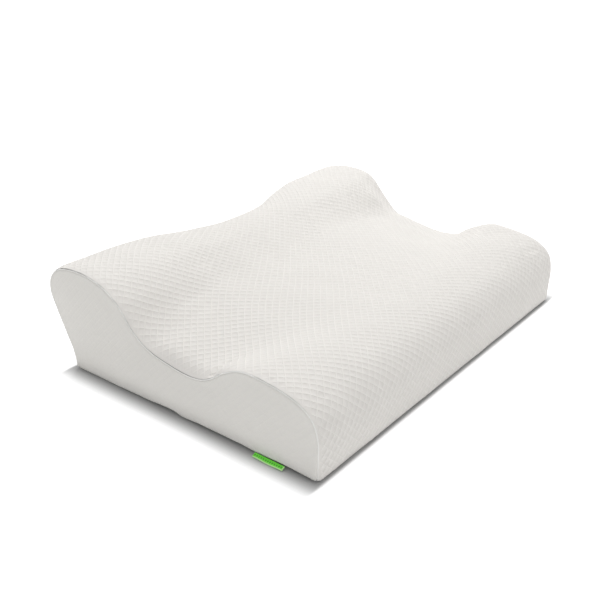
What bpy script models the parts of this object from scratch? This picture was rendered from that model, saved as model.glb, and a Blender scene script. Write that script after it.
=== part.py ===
"""Contour bed pillow: foam core, knit liner, zip-off knit cover, zipper and labels.

Metres, +Z up. The origin is the middle of the underside, +X runs along the long side and +Y runs
from the low front lobe to the high back lobe. The pillow is a mirror image of itself about x = 0,
apart from a slight sag of the high lobe's front at the right end.
"""

import math

import bmesh
import bpy
import numpy as np

# Overall size
LENGTH = 0.600
HALF_LENGTH = LENGTH / 2
FRONT_Y = -0.223  # foot of the front wall
BACK_Y = 0.190  # foot of the back wall

# The cross-section as (y, z) points from the front wall over both lobes to the back wall.
# At the two ends it is a deep wave, and in the middle the valley fills up to a plateau while the
# back of the high lobe curves in by some 30 mm.
OUTLINE_AT_END = (
    (-0.223, 0.030), (-0.222, 0.056), (-0.213, 0.079), (-0.190, 0.094), (-0.155, 0.101),
    (-0.118, 0.1025), (-0.090, 0.092), (-0.062, 0.073), (-0.036, 0.066), (0.000, 0.069),
    (0.036, 0.077), (0.062, 0.093), (0.088, 0.123), (0.120, 0.1415), (0.160, 0.147),
    (0.197, 0.142), (0.217, 0.127), (0.2225, 0.105), (0.213, 0.079), (0.199, 0.049),
    (0.1905, 0.028),
)  # fmt: skip
OUTLINE_AT_MIDDLE = (
    (-0.223, 0.030), (-0.222, 0.054), (-0.215, 0.073), (-0.200, 0.086), (-0.177, 0.093),
    (-0.153, 0.096), (-0.128, 0.0965), (-0.100, 0.097), (-0.066, 0.0985), (-0.025, 0.1015),
    (0.020, 0.1065), (0.056, 0.114), (0.087, 0.125), (0.112, 0.134), (0.137, 0.139),
    (0.161, 0.1345), (0.177, 0.1205), (0.185, 0.100), (0.188, 0.076), (0.190, 0.049),
    (0.1905, 0.028),
)  # fmt: skip
LOW_LOBE, VALLEY, HIGH_LOBE = 5, 8, 14  # places in both lists
STEPS_PER_SPAN = 2

# How far from the middle each region takes on the end's shape: (where it starts, power)
LOW_LOBE_CHANGE = (0.04, 1.6)
VALLEY_CHANGE = (0.07, 1.9)
HIGH_LOBE_FULL = 0.228

# The foam is a little lower on the front of the high lobe at the right end: (place, how much)
RIGHT_SAG = ((11, 0.0095), (12, 0.0160), (13, 0.0020))
RIGHT_SAG_START = 0.245

STATIONS = (0.0, 0.05, 0.10, 0.15, 0.19, 0.225, 0.255, 0.275, 0.289)  # sections either side of 0

# The foam swells the cover a little, and the swell dies out at the end seams
DOME_HEIGHT = 0.003
DOME_RUN_OUT = 0.020
DOME_ON_WALLS = 0.35

# Layers, from the outside in
GAP = 0.0003
COVER = 0.0020
LINER = 0.0006
LINER_INSET = 0.0031
FOAM_INSET = LINER_INSET + LINER + 2 * GAP
FRONT_ROUND = 0.015  # centre of the foam's lower front edge, from both faces
BACK_ROUND = 0.025
ROUND_STEPS = 4

# Sewn seams: a rolled bead where two panels meet, and each panel stops short of it
BEAD_RADIUS = 0.0012
BEAD_INSET = 0.0014
PANEL_INSET = 0.0030
BASE_BEAD_Z = 0.0022
PANEL_FOOT = 0.0038
BASE_CORNER = 0.008
CORNER_STEPS = 6

# Zipper along the foot of the back wall; out is measured outwards from the wall, as +Y
CHAIN_Z = 0.011
CHAIN_SPLIT = 0.0006  # half the slit between the two halves
HEM_Z = 0.017
TAPE_TOP = 0.026
TAPE_OUT = (-0.0027, -0.0023)
TAPE_REACH = 0.2955
COIL_OUT = (-0.0020, -0.0002)
COIL_WIDTH = 0.0024
COIL_REACH = 0.2685
STOP_LENGTH = 0.0025
SLIDER_X = -0.2600
SLIDER_LENGTH = 0.0120
SLIDER_WIDTH = 0.0094
SLIDER_TOP = (0.0001, 0.0011)
SLIDER_BOTTOM = (-0.0042, -0.0031)
SLIDER_FLANGE = 0.0012
CROWN_WINDOW = (0.0044, 0.0018)  # length along the zipper, height
CROWN_BAR = 0.0009
CROWN_WIDTH = 0.0024
TAB_AXIS_OUT = 0.0020
TAB_THICKNESS = 0.0010
TAB_LENGTH = 0.0240
TAB_WIDTH = 0.0064
TAB_WINDOW = (0.0005, 0.0042, 0.0015)  # near edge, far edge, half width
TAB_HOLE = (0.0120, 0.0205, 0.0014)

# Labels
SIDE_LABEL_Y = (-0.177, -0.133)
SIDE_LABEL_ROOT = (-HALF_LENGTH - 0.0008, 0.0037)
SIDE_LABEL_LENGTH = 0.0068
SIDE_LABEL_DROOP = math.radians(24)
SIDE_LABEL_THICKNESS = 0.0007
CARE_LABEL_X = (0.258, 0.292)
CARE_LABEL_Z = (0.044, 0.068)
CARE_LABEL_THICKNESS = 0.0005


def clear_scene():
    for thing in list(bpy.data.objects):
        bpy.data.objects.remove(thing, do_unlink=True)


def new_collection(name):
    group = bpy.data.collections.new(name)
    bpy.context.scene.collection.children.link(group)
    return group


def new_material(name, colour, roughness, metallic=0.0):
    made = bpy.data.materials.new(name)
    made.use_nodes = True
    shader = made.node_tree.nodes["Principled BSDF"]
    shader.inputs["Base Color"].default_value = (*colour, 1.0)
    shader.inputs["Roughness"].default_value = roughness
    shader.inputs["Metallic"].default_value = metallic
    made.diffuse_color = (*colour, 1.0)
    return made


def mesh_object(name, vertices, faces, colour, group):
    """A smooth-shaded object made of these faces, with its sharp edges kept."""
    mesh = bpy.data.meshes.new(name)
    mesh.from_pydata([tuple(map(float, v)) for v in vertices], [], faces)
    mesh.materials.append(colour)
    mesh.shade_smooth()
    mesh.set_sharp_from_angle(angle=math.radians(40))
    made = bpy.data.objects.new(name, mesh)
    group.objects.link(made)
    return made


def face_outwards(thing):
    shape = bmesh.new()
    shape.from_mesh(thing.data)
    bmesh.ops.recalc_face_normals(shape, faces=shape.faces)
    shape.to_mesh(thing.data)
    shape.free()


def thicken(thing, thickness):
    """Turns an open surface into a shell that grows inwards."""
    shell = thing.modifiers.new("Thickness", "SOLIDIFY")
    shell.thickness = thickness
    shell.offset = -1.0
    shell.use_even_offset = True


# ---------------------------------------------------------------- the pillow's surface


def smooth_curve(points, steps):
    """A Catmull-Rom curve through the points; the first and last only set its end directions."""
    curve = []
    for a, b, c, d in zip(points, points[1:], points[2:], points[3:]):
        for t in np.arange(steps) / steps:
            bend = 2 * b + (c - a) * t + (2 * a - 5 * b + 4 * c - d) * t**2
            curve.append(0.5 * (bend + (3 * b - a - 3 * c + d) * t**3))
    curve.append(points[-2])
    return np.array(curve)


def ease(t):
    """0 to 1 with no corner at either end."""
    t = np.clip(t, 0.0, 1.0)
    return t**3 * (6 * t**2 - 15 * t + 10)


def end_share(place, distance):
    """How much of the end's outline holds this far from the middle, for each place in the list."""
    low = np.clip((distance - LOW_LOBE_CHANGE[0]) / (HALF_LENGTH - LOW_LOBE_CHANGE[0]), 0, 1)
    valley = np.clip((distance - VALLEY_CHANGE[0]) / (HALF_LENGTH - VALLEY_CHANGE[0]), 0, 1)
    towards_low = ease((VALLEY - 1 - place) / (VALLEY - LOW_LOBE + 0.5))
    towards_high = ease((place - VALLEY - 2) / (HIGH_LOBE - VALLEY - 2))
    front = valley ** VALLEY_CHANGE[1] * (1 - towards_low) + low ** LOW_LOBE_CHANGE[1] * towards_low
    back = ease(distance / HIGH_LOBE_FULL)
    return front * (1 - towards_high) + back * towards_high


def outline(x, inset, front_foot, back_foot, domed=True):
    """The cross-section at x as (y, z) points from foot to foot, moved inwards by inset."""
    ends, middle = np.array(OUTLINE_AT_END), np.array(OUTLINE_AT_MIDDLE)
    share = end_share(np.arange(len(ends)), abs(x))[:, None]
    points = middle * (1 - share) + ends * share
    sag = ease((x - RIGHT_SAG_START) / (HALF_LENGTH - RIGHT_SAG_START))
    for place, drop in RIGHT_SAG:
        points[place, 1] -= drop * sag
    front, back = np.array((FRONT_Y, 0.0)), np.array((BACK_Y, 0.0))
    curve = smooth_curve([front, *points, back], STEPS_PER_SPAN)
    curve = np.vstack([(FRONT_Y, front_foot), curve, (BACK_Y, back_foot)])
    along = np.gradient(curve, axis=0)
    along[0], along[-1] = (0, 1), (0, -1)
    outward = np.stack([-along[:, 1], along[:, 0]], axis=1)
    outward /= np.linalg.norm(outward, axis=1, keepdims=True)
    swell = 0.0
    if domed:
        run = np.clip((abs(x) - HALF_LENGTH + DOME_RUN_OUT) / DOME_RUN_OUT, 0, 1)
        facing_up = np.clip(outward[:, 1:], 0, 1)
        swell = DOME_HEIGHT * math.sqrt(1 - run**2) * (DOME_ON_WALLS + (1 - DOME_ON_WALLS) * facing_up)
        swell[[0, 1, -2, -1]] = 0.0
    return curve + outward * (swell - inset)


def rounded_outline(x, inset):
    """The cross-section with the quarter-round lower edges that the foam and its liner have."""
    curve = outline(x, inset, FRONT_ROUND, BACK_ROUND)
    turns = np.arange(1, ROUND_STEPS + 1) / ROUND_STEPS * math.pi / 2
    front = np.stack([
        FRONT_Y + FRONT_ROUND - (FRONT_ROUND - inset) * np.cos(turns),
        FRONT_ROUND - (FRONT_ROUND - inset) * np.sin(turns),
    ], axis=1)  # fmt: skip
    back = np.stack([
        BACK_Y - BACK_ROUND + (BACK_ROUND - inset) * np.cos(turns),
        BACK_ROUND - (BACK_ROUND - inset) * np.sin(turns),
    ], axis=1)  # fmt: skip
    return np.vstack([front[::-1], curve, back])


def stations(reach):
    inner = [x for x in STATIONS if x > 0]
    return [-reach, *(-x for x in reversed(inner)), 0.0, *inner, reach]


def loft(name, rows, colour, group, end_walls=False, closed=False):
    """A surface through rows of points, each row a cross-section further along +X."""
    count = len(rows[0])
    faces = []
    for i in range(len(rows) - 1):
        for j in range(count if closed else count - 1):
            a, b = i * count + j, i * count + (j + 1) % count
            faces.append((a, a + count, b + count, b))
    if end_walls or closed:
        last = (len(rows) - 1) * count
        faces.append(tuple(range(count)))
        faces.append(tuple(last + j for j in reversed(range(count))))
    return mesh_object(name, [p for row in rows for p in row], faces, colour, group)


def sections(reach, section):
    return [[(x, y, z) for y, z in section(x)] for x in stations(reach)]


# ---------------------------------------------------------------- plain shapes


def box(name, low, high, colour, group):
    """A block between two corners."""
    bpy.ops.mesh.primitive_cube_add(size=1.0, location=[(a + b) / 2 for a, b in zip(low, high)])
    made = bpy.context.object
    made.name = made.data.name = name
    made.scale = [b - a for a, b in zip(low, high)]
    bpy.ops.object.transform_apply(location=False, rotation=False, scale=True)
    made.data.materials.append(colour)
    for holder in list(made.users_collection):
        holder.objects.unlink(made)
    group.objects.link(made)
    return made


def bevel(thing, width, segments=2):
    edge = thing.modifiers.new("Rounded edges", "BEVEL")
    edge.width = width
    edge.segments = segments
    edge.limit_method = "ANGLE"


def join(thing, other, helpers):
    """Adds a helper shape to this one."""
    union = thing.modifiers.new("Join " + other.name, "BOOLEAN")
    union.operation = "UNION"
    union.object = other
    union.solver = "EXACT"
    other.hide_render = True
    other.display_type = "WIRE"
    for holder in list(other.users_collection):
        holder.objects.unlink(other)
    helpers.objects.link(other)


def flat_plate(name, outlines, thickness, place, colour, group):
    """A plate with these outlines, holes included, standing in the plane that place sets."""
    curve = bpy.data.curves.new(name, "CURVE")
    curve.dimensions = "2D"
    curve.fill_mode = "BOTH"
    curve.extrude = thickness / 2
    for points in outlines:
        line = curve.splines.new("POLY")
        line.points.add(len(points) - 1)
        for point, (u, v) in zip(line.points, points):
            point.co = (u, v, 0.0, 1.0)
        line.use_cyclic_u = True
    flat = bpy.data.objects.new(name, curve)
    mesh = bpy.data.meshes.new_from_object(flat)
    shape = bmesh.new()
    shape.from_mesh(mesh)
    bmesh.ops.remove_doubles(shape, verts=shape.verts, dist=1e-6)
    bmesh.ops.recalc_face_normals(shape, faces=shape.faces)
    shape.to_mesh(mesh)
    shape.free()
    bpy.data.objects.remove(flat)
    mesh.name = name
    mesh.materials.clear()
    mesh.materials.append(colour)
    made = bpy.data.objects.new(name, mesh)
    made.location, made.rotation_euler = place
    group.objects.link(made)
    return made


def round_rod(name, points, radius, closed, colour, group):
    """A round rod along the points."""
    curve = bpy.data.curves.new(name, "CURVE")
    curve.dimensions = "3D"
    curve.bevel_depth = radius
    curve.bevel_resolution = 1
    curve.use_fill_caps = not closed
    line = curve.splines.new("POLY")
    line.points.add(len(points) - 1)
    for point, place in zip(line.points, points):
        point.co = (*place, 1.0)
    line.use_cyclic_u = closed
    curve.materials.append(colour)
    made = bpy.data.objects.new(name, curve)
    group.objects.link(made)
    return made


def rounded_rectangle(low, high, radius, steps=CORNER_STEPS):
    """Points around a rectangle with round corners."""
    points = []
    corners = ((high[0], high[1], 0), (low[0], high[1], 90), (low[0], low[1], 180), (high[0], low[1], 270))
    for x, y, start in corners:
        centre = (x - math.copysign(radius, x - low[0] - radius), y - math.copysign(radius, y - low[1] - radius))
        for k in range(steps + 1):
            turn = math.radians(start + 90 * k / steps)
            points.append((centre[0] + radius * math.cos(turn), centre[1] + radius * math.sin(turn)))
    return points


# ---------------------------------------------------------------- the pieces


def make_foam_core(colour, group):
    rows = sections(HALF_LENGTH - FOAM_INSET, lambda x: rounded_outline(x, FOAM_INSET))
    face_outwards(loft("foam_core", rows, colour, group, closed=True))


def make_liner(colour, group):
    """A thin sock: one skin over the top and walls, closed by a flat sheet under the foam."""
    reach = HALF_LENGTH - LINER_INSET
    rows = sections(reach, lambda x: rounded_outline(x, LINER_INSET))
    thicken(loft("liner_upper", rows, colour, group, end_walls=True), LINER)
    low = (-reach + LINER + 3 * GAP, FRONT_Y + FRONT_ROUND + GAP)
    high = (reach - LINER - 3 * GAP, BACK_Y - BACK_ROUND - GAP)
    box("liner_base", (*low, LINER_INSET), (*high, LINER_INSET + LINER), colour, group)


def make_cover(colour, base_colour, group):
    """The knit cover: one panel over both lobes and down to the feet, two end panels and a base."""
    rows = sections(HALF_LENGTH - PANEL_INSET, lambda x: outline(x, 0.0, PANEL_FOOT, HEM_Z))
    thicken(loft("cover_top_panel", rows, colour, group), COVER)
    for side, sign in (("left", -1), ("right", 1)):
        profile = outline(sign * HALF_LENGTH, PANEL_INSET, PANEL_FOOT, PANEL_FOOT, domed=False)
        place = ((sign * (HALF_LENGTH - COVER / 2), 0.0, 0.0), (math.pi / 2, 0.0, math.pi / 2))
        flat_plate(f"cover_end_panel_{side}", [profile], COVER, place, colour, group)
    low = (-HALF_LENGTH + PANEL_INSET, FRONT_Y + PANEL_INSET)
    high = (HALF_LENGTH - PANEL_INSET, BACK_Y - PANEL_INSET)
    base = rounded_rectangle(low, high, BASE_CORNER - PANEL_INSET)
    place = ((0.0, 0.0, COVER / 2), (0.0, 0.0, 0.0))
    flat_plate("cover_base_panel", [base], COVER, place, base_colour, group)


def make_seams(colour, group):
    foot = BASE_BEAD_Z + 2 * BEAD_RADIUS
    for side, sign in (("left", -1), ("right", 1)):
        profile = outline(sign * HALF_LENGTH, BEAD_INSET, foot, foot, domed=False)
        path = [(sign * (HALF_LENGTH - BEAD_INSET), y, z) for y, z in profile]
        round_rod(f"end_seam_{side}", path, BEAD_RADIUS, False, colour, group)
    low = (-HALF_LENGTH + BEAD_INSET, FRONT_Y + BEAD_INSET)
    high = (HALF_LENGTH - BEAD_INSET, BACK_Y - BEAD_INSET)
    path = [(x, y, BASE_BEAD_Z) for x, y in rounded_rectangle(low, high, BASE_CORNER - BEAD_INSET)]
    round_rod("base_seam", path, BEAD_RADIUS, True, colour, group)


def zipper_box(name, along, up, out, colour, group):
    """A block given along the zipper (x), up the wall (z) and outwards from it."""
    low = (along[0], BACK_Y + out[0], up[0])
    high = (along[1], BACK_Y + out[1], up[1])
    return box(name, low, high, colour, group)


def make_zipper_chain(tape, coil, metal, group):
    """Two tapes with a row of teeth each, and the stops that end the slider's travel."""
    whole, teeth = (-TAPE_REACH, TAPE_REACH), (-COIL_REACH, COIL_REACH)
    upper, lower = CHAIN_Z + CHAIN_SPLIT, CHAIN_Z - CHAIN_SPLIT
    zipper_box("zipper_tape_upper", whole, (upper, TAPE_TOP), TAPE_OUT, tape, group)
    zipper_box("zipper_tape_lower", whole, (PANEL_FOOT, lower), TAPE_OUT, tape, group)
    rows = {"upper": (upper, upper + COIL_WIDTH), "lower": (lower - COIL_WIDTH, lower)}
    start = -COIL_REACH - GAP
    for half, up in rows.items():
        bevel(zipper_box(f"zipper_coil_{half}", teeth, up, COIL_OUT, coil, group), 0.0004)
        stop = zipper_box(f"zipper_stop_{half}", (start - STOP_LENGTH, start), up, COIL_OUT, metal, group)
        bevel(stop, 0.0003)
    across = (rows["lower"][0], rows["upper"][1])
    end = COIL_REACH + GAP
    bevel(zipper_box("zipper_end_stop", (end, end + STOP_LENGTH), across, COIL_OUT, metal, group), 0.0003)


def make_slider(metal, group, helpers):
    """Two plates either side of the teeth, joined by a thin wedge, with an arch for the tab."""
    half_length, half_width = SLIDER_LENGTH / 2, SLIDER_WIDTH / 2
    along = (SLIDER_X - half_length, SLIDER_X + half_length)
    up = (CHAIN_Z - half_width, CHAIN_Z + half_width)
    slider = zipper_box("zipper_slider", along, up, SLIDER_TOP, metal, group)
    inner = (up[0] + GAP, up[1] - GAP)
    inside = (SLIDER_BOTTOM[0], SLIDER_BOTTOM[1])
    join(slider, zipper_box("slider_inner_plate", along, inner, inside, metal, helpers), helpers)
    wedge_up = (CHAIN_Z - GAP, CHAIN_Z + GAP)
    wedge_out = (SLIDER_BOTTOM[0] + 0.0005, SLIDER_TOP[1] - 0.0005)
    wedge_along = (along[0] + 0.0010, along[0] + 0.0045)
    join(slider, zipper_box("slider_wedge", wedge_along, wedge_up, wedge_out, metal, helpers), helpers)
    rail_out = (COIL_OUT[0] + 0.0001, SLIDER_TOP[1] - 0.0003)
    for name, edge in (("slider_lower_rail", up[0]), ("slider_upper_rail", up[1] - SLIDER_FLANGE)):
        rail = zipper_box(name, along, (edge, edge + SLIDER_FLANGE), rail_out, metal, helpers)
        join(slider, rail, helpers)
    window, height = CROWN_WINDOW[0] / 2, CROWN_WINDOW[1]
    leg = window + CROWN_BAR
    foot, under, top = SLIDER_TOP[0] + 0.0003, SLIDER_TOP[1] + height, SLIDER_TOP[1] + height + CROWN_BAR
    arch = [
        (-leg, foot), (-window, foot), (-window, under), (window, under), (window, foot), (leg, foot),
        (leg, top - 0.0006), (leg - 0.0008, top), (0.0008 - leg, top), (-leg, top - 0.0006),
    ]  # fmt: skip
    place = ((SLIDER_X, BACK_Y, CHAIN_Z), (0.0, 0.0, 0.0))
    join(slider, flat_plate("slider_crown", [arch], CROWN_WIDTH, place, metal, helpers), helpers)
    bevel(slider, 0.0002, 1)


def make_pull_tab(metal, group):
    """The tab turns about the bar of its window, which passes under the slider's arch."""
    half, near = TAB_WIDTH / 2, -TAB_WINDOW[0]
    body = rounded_rectangle((-TAB_LENGTH, -half), (-TAB_WINDOW[1] - 0.0010, half), half * 0.6)
    neck = TAB_WINDOW[2] + 0.0012
    shape = [p for p in body if p[0] < -TAB_WINDOW[1] - 0.0030]
    shape += [(-TAB_WINDOW[1] - 0.0010, -neck), (-near, -neck), (-near, neck), (-TAB_WINDOW[1] - 0.0010, neck)]
    window = [(-TAB_WINDOW[1], -TAB_WINDOW[2]), (near, -TAB_WINDOW[2]), (near, TAB_WINDOW[2]),
              (-TAB_WINDOW[1], TAB_WINDOW[2])]  # fmt: skip
    hole = rounded_rectangle((-TAB_HOLE[1], -TAB_HOLE[2]), (-TAB_HOLE[0], TAB_HOLE[2]), TAB_HOLE[2] * 0.98, 4)
    place = ((SLIDER_X, BACK_Y + TAB_AXIS_OUT, CHAIN_Z), (math.pi / 2, 0.0, 0.0))
    flat_plate("zipper_pull_tab", [shape, window, hole], TAB_THICKNESS, place, metal, group)


def make_side_label(colour, group):
    """A folded woven strip sewn into the base seam, drooping to the surface the pillow lies on."""
    root_x, root_z = SIDE_LABEL_ROOT
    rows = []
    for y in np.linspace(*SIDE_LABEL_Y, 7):
        row = []
        for t in np.linspace(0.0, 1.0, 4):
            bend = SIDE_LABEL_DROOP * (0.6 + 0.4 * t)
            reach = SIDE_LABEL_LENGTH * t
            row.append((root_x - reach * math.cos(bend), y, root_z - reach * math.sin(bend)))
        rows.append(row)
    thicken(loft("side_label", rows, colour, group), SIDE_LABEL_THICKNESS)


def make_care_label(colour, group):
    """A satin patch sewn flat on the back wall, beside the right end seam."""
    rows = []
    for x in np.linspace(*CARE_LABEL_X, 4):
        wall = outline(x, -GAP - CARE_LABEL_THICKNESS, PANEL_FOOT, HEM_Z)
        wall = wall[len(wall) // 2 :][::-1]  # the back wall, from its foot up
        heights = np.linspace(*CARE_LABEL_Z, 4)
        rows.append([(x, np.interp(z, wall[:20, 1], wall[:20, 0]), z) for z in heights[::-1]])
    thicken(loft("care_label", rows, colour, group), CARE_LABEL_THICKNESS)


def main():
    clear_scene()
    group, helpers = new_collection("contour_pillow"), new_collection("helpers")
    helpers.hide_render = True
    foam = new_material("memory foam", (0.90, 0.86, 0.72), 0.9)
    jersey = new_material("liner jersey", (0.86, 0.86, 0.85), 0.9)
    knit = new_material("diamond knit", (0.86, 0.85, 0.82), 0.85)
    base_knit = new_material("base knit", (0.84, 0.84, 0.82), 0.9)
    thread = new_material("seam thread", (0.84, 0.83, 0.80), 0.8)
    tape = new_material("zipper tape", (0.85, 0.85, 0.84), 0.85)
    nylon = new_material("nylon teeth", (0.83, 0.83, 0.82), 0.4)
    enamel = new_material("white enamel", (0.80, 0.80, 0.79), 0.35, 0.3)
    green = new_material("green label", (0.18, 0.60, 0.06), 0.6)
    satin = new_material("care label satin", (0.88, 0.88, 0.88), 0.45)
    make_foam_core(foam, group)
    make_liner(jersey, group)
    make_cover(knit, base_knit, group)
    make_seams(thread, group)
    make_zipper_chain(tape, nylon, enamel, group)
    make_slider(enamel, group, helpers)
    make_pull_tab(enamel, group)
    make_side_label(green, group)
    make_care_label(satin, group)


main()
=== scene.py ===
"""Looks for the contour bed pillow: a diamond-knit cover over a foam core, its seams, zipper and labels.

Metres, in the CAD's frame: +X along the long side, +Y from the low lobe to the high one, +Z up.
"""

import math

import bpy
import numpy as np
from mathutils.geometry import delaunay_2d_cdt
from mathutils.kdtree import KDTree
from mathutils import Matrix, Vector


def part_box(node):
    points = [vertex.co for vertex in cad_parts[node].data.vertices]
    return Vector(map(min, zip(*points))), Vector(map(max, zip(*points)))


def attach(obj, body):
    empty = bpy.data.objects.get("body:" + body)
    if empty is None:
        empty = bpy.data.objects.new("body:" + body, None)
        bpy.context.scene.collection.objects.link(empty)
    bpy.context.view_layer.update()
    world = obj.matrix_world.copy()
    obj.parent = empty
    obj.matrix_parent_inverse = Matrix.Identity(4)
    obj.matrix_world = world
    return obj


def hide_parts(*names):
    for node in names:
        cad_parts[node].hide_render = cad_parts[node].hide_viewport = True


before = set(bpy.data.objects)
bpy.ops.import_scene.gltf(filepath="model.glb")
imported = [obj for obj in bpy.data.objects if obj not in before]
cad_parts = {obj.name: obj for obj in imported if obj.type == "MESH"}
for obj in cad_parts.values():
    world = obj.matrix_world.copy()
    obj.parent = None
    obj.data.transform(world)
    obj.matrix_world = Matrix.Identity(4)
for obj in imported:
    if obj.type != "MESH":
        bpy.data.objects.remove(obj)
SCENE = bpy.context.scene
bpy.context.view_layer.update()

# ---------------- the form, as in the CAD

END_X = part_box("cover_end_panel_right")[1].x  # the ends stand this far from the middle
FRONT_Y = -0.223  # foot of the front wall
BACK_Y = 0.190  # foot of the back wall
HEM_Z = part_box("cover_top_panel")[0].z + 0.0132  # lower edge of the back wall, over the zipper
OUTLINE_AT_END = (
    (-0.223, 0.030), (-0.222, 0.056), (-0.213, 0.079), (-0.190, 0.094), (-0.155, 0.101),
    (-0.118, 0.1025), (-0.090, 0.092), (-0.062, 0.073), (-0.036, 0.066), (0.000, 0.069),
    (0.036, 0.077), (0.062, 0.093), (0.088, 0.123), (0.120, 0.1415), (0.160, 0.147),
    (0.197, 0.142), (0.217, 0.127), (0.2225, 0.105), (0.213, 0.079), (0.199, 0.049),
    (0.1905, 0.028),
)  # fmt: skip
OUTLINE_AT_MIDDLE = (
    (-0.223, 0.030), (-0.222, 0.054), (-0.215, 0.073), (-0.200, 0.086), (-0.177, 0.093),
    (-0.153, 0.096), (-0.128, 0.0965), (-0.100, 0.097), (-0.066, 0.0985), (-0.025, 0.1015),
    (0.020, 0.1065), (0.056, 0.114), (0.087, 0.125), (0.112, 0.134), (0.137, 0.139),
    (0.161, 0.1345), (0.177, 0.1205), (0.185, 0.100), (0.188, 0.076), (0.190, 0.049),
    (0.1905, 0.028),
)  # fmt: skip
LOW_LOBE, VALLEY, HIGH_LOBE = 5, 8, 14  # places in both lists
LOW_LOBE_CHANGE = (0.04, 1.6)
VALLEY_CHANGE = (0.07, 1.9)
HIGH_LOBE_FULL = 0.228
DOME_HEIGHT = 0.003
DOME_RUN_OUT = 0.020
DOME_ON_WALLS = 0.35
RIGHT_SAG = ((11, 0.0095), (12, 0.0160), (13, 0.0020))  # (place in the lists, how much)
RIGHT_SAG_START = 0.245
FINE_STEPS = 12


def add_object(name, data):
    made = bpy.data.objects.new(name, data)
    SCENE.collection.objects.link(made)
    return made


def smooth_curve(points, steps):
    """A Catmull-Rom curve through the points; the first and last only set its end directions."""
    a, b, c, d = (points[i : len(points) - 3 + i, None] for i in range(4))
    t = (np.arange(steps) / steps)[None, :, None]
    bend = 2 * b + (c - a) * t + (2 * a - 5 * b + 4 * c - d) * t**2 + (3 * b - a - 3 * c + d) * t**3
    return np.vstack([(bend / 2).reshape(-1, 2), points[-2]])


def ease(t):
    """0 to 1 with no corner at either end."""
    t = np.clip(t, 0.0, 1.0)
    return t**3 * (6 * t**2 - 15 * t + 10)


def end_share(place, distance):
    """How much of the end's outline holds this far from the middle, for each place in the list."""
    low = np.clip((distance - LOW_LOBE_CHANGE[0]) / (END_X - LOW_LOBE_CHANGE[0]), 0, 1)
    valley = np.clip((distance - VALLEY_CHANGE[0]) / (END_X - VALLEY_CHANGE[0]), 0, 1)
    towards_low = ease((VALLEY - 1 - place) / (VALLEY - LOW_LOBE + 0.5))
    towards_high = ease((place - VALLEY - 2) / (HIGH_LOBE - VALLEY - 2))
    front = valley ** VALLEY_CHANGE[1] * (1 - towards_low) + low ** LOW_LOBE_CHANGE[1] * towards_low
    back = ease(distance / HIGH_LOBE_FULL)
    return front * (1 - towards_high) + back * towards_high


def outline(x, inset=0.0, front_foot=0.0, back_foot=0.0, domed=True):
    """The cross-section at x as (y, z) points from foot to foot, moved inwards by inset."""
    ends, middle = np.array(OUTLINE_AT_END), np.array(OUTLINE_AT_MIDDLE)
    share = end_share(np.arange(len(ends)), min(abs(x), END_X))[:, None]
    points = middle * (1 - share) + ends * share
    sag = ease((x - RIGHT_SAG_START) / (END_X - RIGHT_SAG_START))
    for place, drop in RIGHT_SAG:
        points[place, 1] -= drop * sag
    curve = smooth_curve(np.vstack([(FRONT_Y, 0.0), points, (BACK_Y, 0.0)]), FINE_STEPS)
    curve = np.vstack([(FRONT_Y, front_foot), curve, (BACK_Y, back_foot)])
    along = np.gradient(curve, axis=0)
    along[0], along[-1] = (0, 1), (0, -1)
    outward = np.stack([-along[:, 1], along[:, 0]], axis=1)
    outward /= np.linalg.norm(outward, axis=1, keepdims=True)
    swell = np.zeros((len(curve), 1))
    if domed:
        run = np.clip((abs(x) - END_X + DOME_RUN_OUT) / DOME_RUN_OUT, 0, 1)
        facing_up = np.clip(outward[:, 1:], 0, 1)
        swell = DOME_HEIGHT * (1 - run**2) ** 0.65 * (DOME_ON_WALLS + (1 - DOME_ON_WALLS) * facing_up)
        swell[[0, -1]] = 0.0
    return curve + outward * (swell - inset)


def lengths_along(curve):
    return np.concatenate([[0.0], np.cumsum(np.linalg.norm(np.diff(curve, axis=0), axis=1))])


def evenly(curve, count):
    """The curve as count + 1 evenly spaced points."""
    along = lengths_along(curve)
    at = np.linspace(0, along[-1], count + 1)
    return np.stack([np.interp(at, along, curve[:, k]) for k in range(curve.shape[1])], axis=1)


# ---------------- how the cloth sits

CORNER_RADIUS = 0.008
CORNER_FADE = (0.006, 0.050)  # full rounding below, little above
CORNER_LEFT_ABOVE = 0.30
BACK_CORNER_FADE = 0.045  # the back corners are rounded only up to here
FOOT_LIFT = (  # (y, how far the foot of an end stands off the ground there)
    (-0.223, 0.0), (-0.205, 0.0016), (-0.180, 0.0026), (-0.134, 0.0016), (-0.105, 0.0027), (-0.048, 0.0026),
    (-0.016, 0.0008), (0.006, 0.0042), (0.060, 0.0014), (0.115, 0.0003), (0.190, 0.0),
)  # fmt: skip
LIFT_FADE = 0.012


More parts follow.
